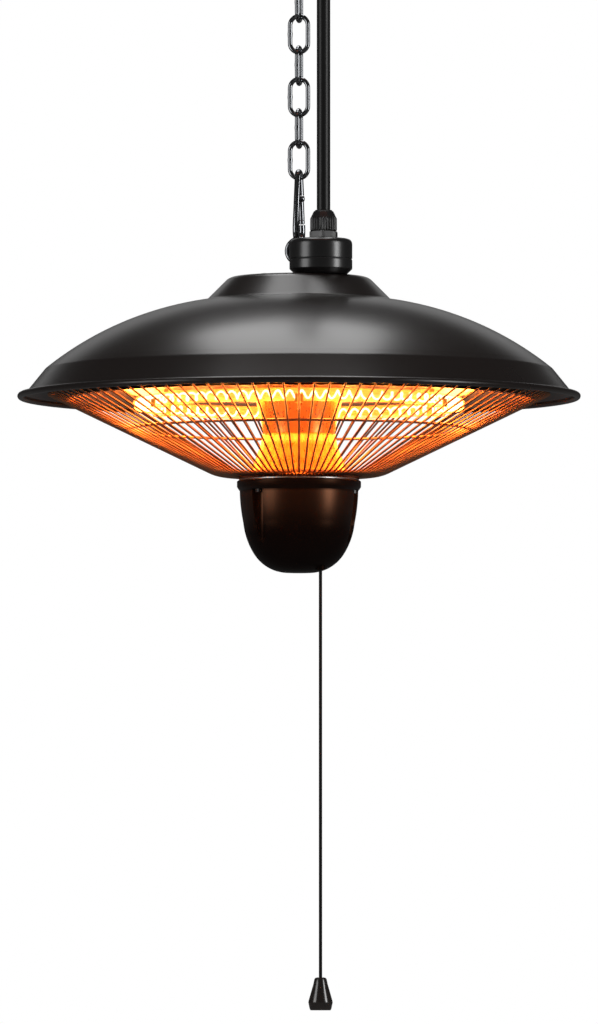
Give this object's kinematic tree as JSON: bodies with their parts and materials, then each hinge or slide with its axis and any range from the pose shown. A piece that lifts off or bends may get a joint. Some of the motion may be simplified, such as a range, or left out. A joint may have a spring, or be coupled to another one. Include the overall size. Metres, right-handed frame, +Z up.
{
  "type": "hanging patio heater",
  "caption": "Domed hanging heater with a ring lamp and wire guard under the shade, held by a chain and snap hook, with a pull cord below",
  "frame": {"origin": "the centre of the ceiling bolts, on the ceiling face of the ceiling plate", "axes": "+Z up out of the ceiling plate, +X to the viewer's right with the pictured side at -Y"},
  "size_m": [0.426, 0.426, 0.8245],
  "materials": {
    "black_satin_steel": "satin black powder coat",
    "bright_zinc": "bright zinc plate",
    "plain_steel": "zinc plated steel",
    "mirror_aluminium": "bright rolled aluminium",
    "lamp_glass": "clear quartz, lit amber",
    "glowing_filament": "glowing resistance wire",
    "white_ceramic": "plain fired ceramic",
    "guard_chrome": "bright chrome on steel wire",
    "black_nylon": "moulded nylon",
    "black_rubber": "matt rubber",
    "black_bowl": "satin black paint",
    "black_cord": "braided polyester",
    "black_bell": "glossy moulded plastic"
  },
  "bodies": {
    "ceiling_fitting": {"rose_plate": "plain_steel", "rose_cover": "black_satin_steel", "ceiling_hook": "bright_zinc", "hook_nut": "plain_steel", "cover_nut": "plain_steel", "rose_gland_body": "black_nylon", "rose_gland_dome_nut": "black_nylon", "rose_gland_seal": "black_rubber", "rose_gland_locknut": "black_nylon"},
    "chain_link_1": {"chain_link_1": "bright_zinc"},
    "chain_link_2": {"chain_link_2": "bright_zinc"},
    "chain_link_3": {"chain_link_3": "bright_zinc"},
    "chain_link_4": {"chain_link_4": "bright_zinc"},
    "chain_link_5": {"chain_link_5": "bright_zinc"},
    "chain_link_6": {"chain_link_6": "bright_zinc"},
    "snap_hook": {"snap_hook_body": "bright_zinc", "gate_rivet": "bright_zinc"},
    "snap_gate": {"snap_gate": "bright_zinc"},
    "heater": {"mains_cable": "black_rubber", "eye_bolt": "bright_zinc", "coupling_nut": "plain_steel", "shade": "black_satin_steel", "junction_box_base": "black_satin_steel", "junction_box_seal": "black_rubber", "junction_box_cover": "black_satin_steel", "terminal_block": "white_ceramic", "gland_body": "black_nylon", "gland_dome_nut": "black_nylon", "gland_seal": "black_rubber", "gland_locknut": "black_nylon", "cap_screws": "plain_steel", "frame_posts": "plain_steel", "reflector": "mirror_aluminium", "reflector_screws": "plain_steel", "lamp_glass_tube": "lamp_glass", "filament": "glowing_filament", "lamp_end_caps": "white_ceramic", "lamp_clips": "plain_steel", "column_upper": "mirror_aluminium", "column_lower": "mirror_aluminium", "centre_tube": "plain_steel", "tube_nut": "plain_steel", "retaining_plate": "guard_chrome", "guard_wires": "guard_chrome", "guard_rim_ring": "guard_chrome", "guard_mid_ring": "guard_chrome", "guard_hub_ring": "guard_chrome", "guard_clips": "plain_steel", "bowl": "black_bowl", "bowl_screws": "plain_steel", "switch_body": "black_nylon", "switch_pin": "plain_steel", "arm_spring": "plain_steel", "cord_bushing": "black_nylon"},
    "switch_arm": {"switch_arm": "black_nylon"},
    "pull_slide": {"pull_stem": "black_cord"},
    "pull_swing": {"pull_cord": "black_cord", "pull_bell": "black_bell"}
  },
  "joints": [
    {"name": "link_1_swing", "type": "hinge", "parent": "ceiling_fitting", "child": "chain_link_1", "pos_m": [0, 0, -0.0525], "axis": [0.9781, -0.2079, 0], "range_deg": [-40, 40], "deforming": ["mains_cable"]},
    {"name": "link_2_swing", "type": "hinge", "parent": "chain_link_1", "child": "chain_link_2", "pos_m": [0, 0, -0.07565], "axis": [0.2079, 0.9781, 0], "range_deg": [-40, 40], "deforming": ["mains_cable"]},
    {"name": "link_3_swing", "type": "hinge", "parent": "chain_link_2", "child": "chain_link_3", "pos_m": [0, 0, -0.09955], "axis": [-0.9781, 0.2079, 0], "range_deg": [-40, 40], "deforming": ["mains_cable"]},
    {"name": "link_4_swing", "type": "hinge", "parent": "chain_link_3", "child": "chain_link_4", "pos_m": [0, 0, -0.12345], "axis": [-0.2079, -0.9781, 0], "range_deg": [-40, 40], "deforming": ["mains_cable"]},
    {"name": "link_5_swing", "type": "hinge", "parent": "chain_link_4", "child": "chain_link_5", "pos_m": [0, 0, -0.14735], "axis": [0.9781, -0.2079, 0], "range_deg": [-40, 40], "deforming": ["mains_cable"]},
    {"name": "link_6_swing", "type": "hinge", "parent": "chain_link_5", "child": "chain_link_6", "pos_m": [0, 0, -0.17125], "axis": [0.2079, 0.9781, 0], "range_deg": [-40, 40], "deforming": ["mains_cable"]},
    {"name": "snap_swing", "type": "hinge", "parent": "chain_link_6", "child": "snap_hook", "pos_m": [0, 0, -0.19515], "axis": [-0.9781, 0.2079, 0], "range_deg": [-30, 30], "deforming": ["mains_cable"]},
    {"name": "heater_swing", "type": "hinge", "parent": "snap_hook", "child": "heater", "pos_m": [0, 0, -0.2458], "axis": [-0.2079, -0.9781, 0], "range_deg": [-15, 15], "deforming": ["mains_cable"]},
    {"name": "gate_hinge", "type": "hinge", "parent": "snap_hook", "child": "snap_gate", "pos_m": [0.00147, 0.00692, -0.2103], "axis": [0.9781, -0.2079, 0], "range_deg": [-25, 0], "stiffness_Nm_per_rad": 0.05},
    {"name": "cord_pull", "type": "slide", "parent": "heater", "child": "pull_slide", "axis": [0, 0, -1], "range_m": [0, 0.008], "stiffness_N_per_m": 300},
    {"name": "cord_swing", "type": "hinge", "parent": "pull_slide", "child": "pull_swing", "pos_m": [0.0162, -0.014, -0.4901], "axis": [0, 1, 0], "range_deg": [-25, 25], "deforming": ["pull_cord"]},
    {"name": "arm_turn", "type": "hinge", "parent": "heater", "child": "switch_arm", "pos_m": [0.00107, -0.00092, -0.4653], "axis": [0.6538, 0.7566, 0], "range_deg": [0, 23]}
  ],
  "couplings": [
    {"joint": "arm_turn", "follows": "cord_pull", "rad_per_m": 50}
  ]
}
